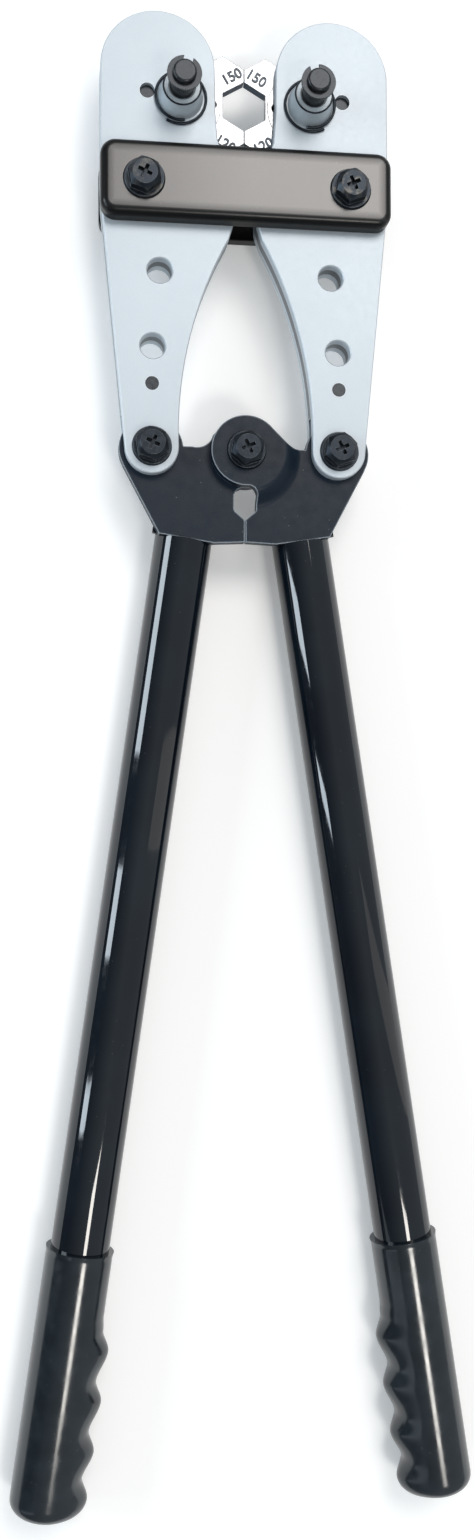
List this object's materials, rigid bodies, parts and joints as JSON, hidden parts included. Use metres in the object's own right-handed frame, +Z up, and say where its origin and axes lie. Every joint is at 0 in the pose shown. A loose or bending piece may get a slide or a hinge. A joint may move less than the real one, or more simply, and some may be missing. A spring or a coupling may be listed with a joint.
{
  "type": "crimping tool",
  "caption": "Long-handled hexagonal crimping tool: two turning die wheels in riveted jaws, closed by a toggle linkage.",
  "frame": {"origin": "bottom centre of the whole tool as it lies flat with closed handles", "axes": "+X across the tool towards its right handle, +Y from the grips to the jaws, +Z up out of the front face"},
  "size_m": [0.2034, 0.6502, 0.0532],
  "materials": {
    "jaw_silver": "satin silver coating, fine grain",
    "head_black": "satin blue-black coating",
    "tube_black": "gloss black paint",
    "tie_black": "semi-gloss black paint",
    "grip_vinyl": "gloss black dipped vinyl",
    "black_oxide": "black oxide steel fasteners",
    "die_steel": "polished bright die steel",
    "bright_steel": "bright machined steel",
    "dark_steel": "dark hardened steel"
  },
  "bodies": {
    "left_handle": {"handle_head_left": "head_black", "handle_tube_left": "tube_black", "tube_spigot_left": "dark_steel", "weld_beads_left": "tube_black", "handle_grip_left": "grip_vinyl"},
    "left_jaw": {"jaw_front_plate_left": "jaw_silver", "jaw_centre_plate_left": "jaw_silver", "jaw_rear_plate_left": "jaw_silver", "jaw_rivet_left": "dark_steel", "detent_plug_left": "dark_steel", "axle_housing_left": "bright_steel", "rim_ring_left": "black_oxide", "wire_ring_left": "black_oxide", "axle_spring_left": "bright_steel", "pivot_bolt_left": "black_oxide", "pivot_sleeve_left": "bright_steel", "pivot_nut_left": "black_oxide"},
    "left_die": {"die_wheel_left": "die_steel"},
    "left_axle": {"axle_pin_left": "dark_steel", "e_clip_left": "dark_steel"},
    "right_handle": {"handle_head_right": "head_black", "handle_tube_right": "tube_black", "tube_spigot_right": "dark_steel", "weld_beads_right": "tube_black", "handle_grip_right": "grip_vinyl", "centre_bolt": "black_oxide", "centre_sleeve": "bright_steel", "centre_washer": "black_oxide", "centre_nut": "black_oxide"},
    "right_jaw": {"jaw_front_plate_right": "jaw_silver", "jaw_centre_plate_right": "jaw_silver", "jaw_rear_plate_right": "jaw_silver", "jaw_rivet_right": "dark_steel", "detent_plug_right": "dark_steel", "axle_housing_right": "bright_steel", "rim_ring_right": "black_oxide", "wire_ring_right": "black_oxide", "axle_spring_right": "bright_steel", "pivot_bolt_right": "black_oxide", "pivot_sleeve_right": "bright_steel", "pivot_nut_right": "black_oxide"},
    "right_die": {"die_wheel_right": "die_steel"},
    "right_axle": {"axle_pin_right": "dark_steel", "e_clip_right": "dark_steel"},
    "tie_bars": {"tie_plate_front": "tie_black", "tie_plate_rear": "tie_black", "tie_bolt_left": "black_oxide", "tie_bolt_right": "black_oxide", "tie_sleeve_left": "bright_steel", "tie_sleeve_right": "bright_steel", "tie_nut_left": "black_oxide", "tie_nut_right": "black_oxide"}
  },
  "joints": [
    {"name": "handle_opening", "type": "hinge", "parent": "left_handle", "child": "right_handle", "pos_m": [0, 0.13402, 0.023], "axis": [0, 0, 1], "range_deg": [0, 80]},
    {"name": "left_jaw_pivot", "type": "hinge", "parent": "left_handle", "child": "left_jaw", "pos_m": [-0.0411, 0.13472, 0.023], "axis": [0, 0, 1], "range_deg": [0, 44.6]},
    {"name": "right_jaw_pivot", "type": "hinge", "parent": "right_handle", "child": "right_jaw", "pos_m": [0.0411, 0.13472, 0.023], "axis": [0, 0, 1], "range_deg": [-44.6, 0]},
    {"name": "tie_pivot", "type": "hinge", "parent": "left_jaw", "child": "tie_bars", "pos_m": [-0.0449, 0.24742, 0.023], "axis": [0, 0, 1], "range_deg": [-4.5, 0]},
    {"name": "left_die_turn", "type": "hinge", "parent": "left_jaw", "child": "left_die", "pos_m": [-0.02865, 0.28762, 0.023], "axis": [0, 0, 1], "range_deg": [-0.5, 0.5]},
    {"name": "left_axle_pull", "type": "slide", "parent": "left_jaw", "child": "left_axle", "axis": [0, 0, 1], "range_m": [0, 0.004], "stiffness_N_per_m": 1500, "springref_m": -0.006, "deforming": ["axle_spring_left"]},
    {"name": "right_die_turn", "type": "hinge", "parent": "right_jaw", "child": "right_die", "pos_m": [0.02865, 0.28762, 0.023], "axis": [0, 0, 1], "range_deg": [-0.5, 0.5]},
    {"name": "right_axle_pull", "type": "slide", "parent": "right_jaw", "child": "right_axle", "axis": [0, 0, 1], "range_m": [0, 0.004], "stiffness_N_per_m": 1500, "springref_m": -0.006, "deforming": ["axle_spring_right"]}
  ],
  "couplings": [
    {"joint": "left_jaw_pivot", "follows": "handle_opening", "ratio": 0.554},
    {"joint": "right_jaw_pivot", "follows": "handle_opening", "ratio": -0.554},
    {"joint": "tie_pivot", "follows": "handle_opening", "ratio": -0.054}
  ]
}
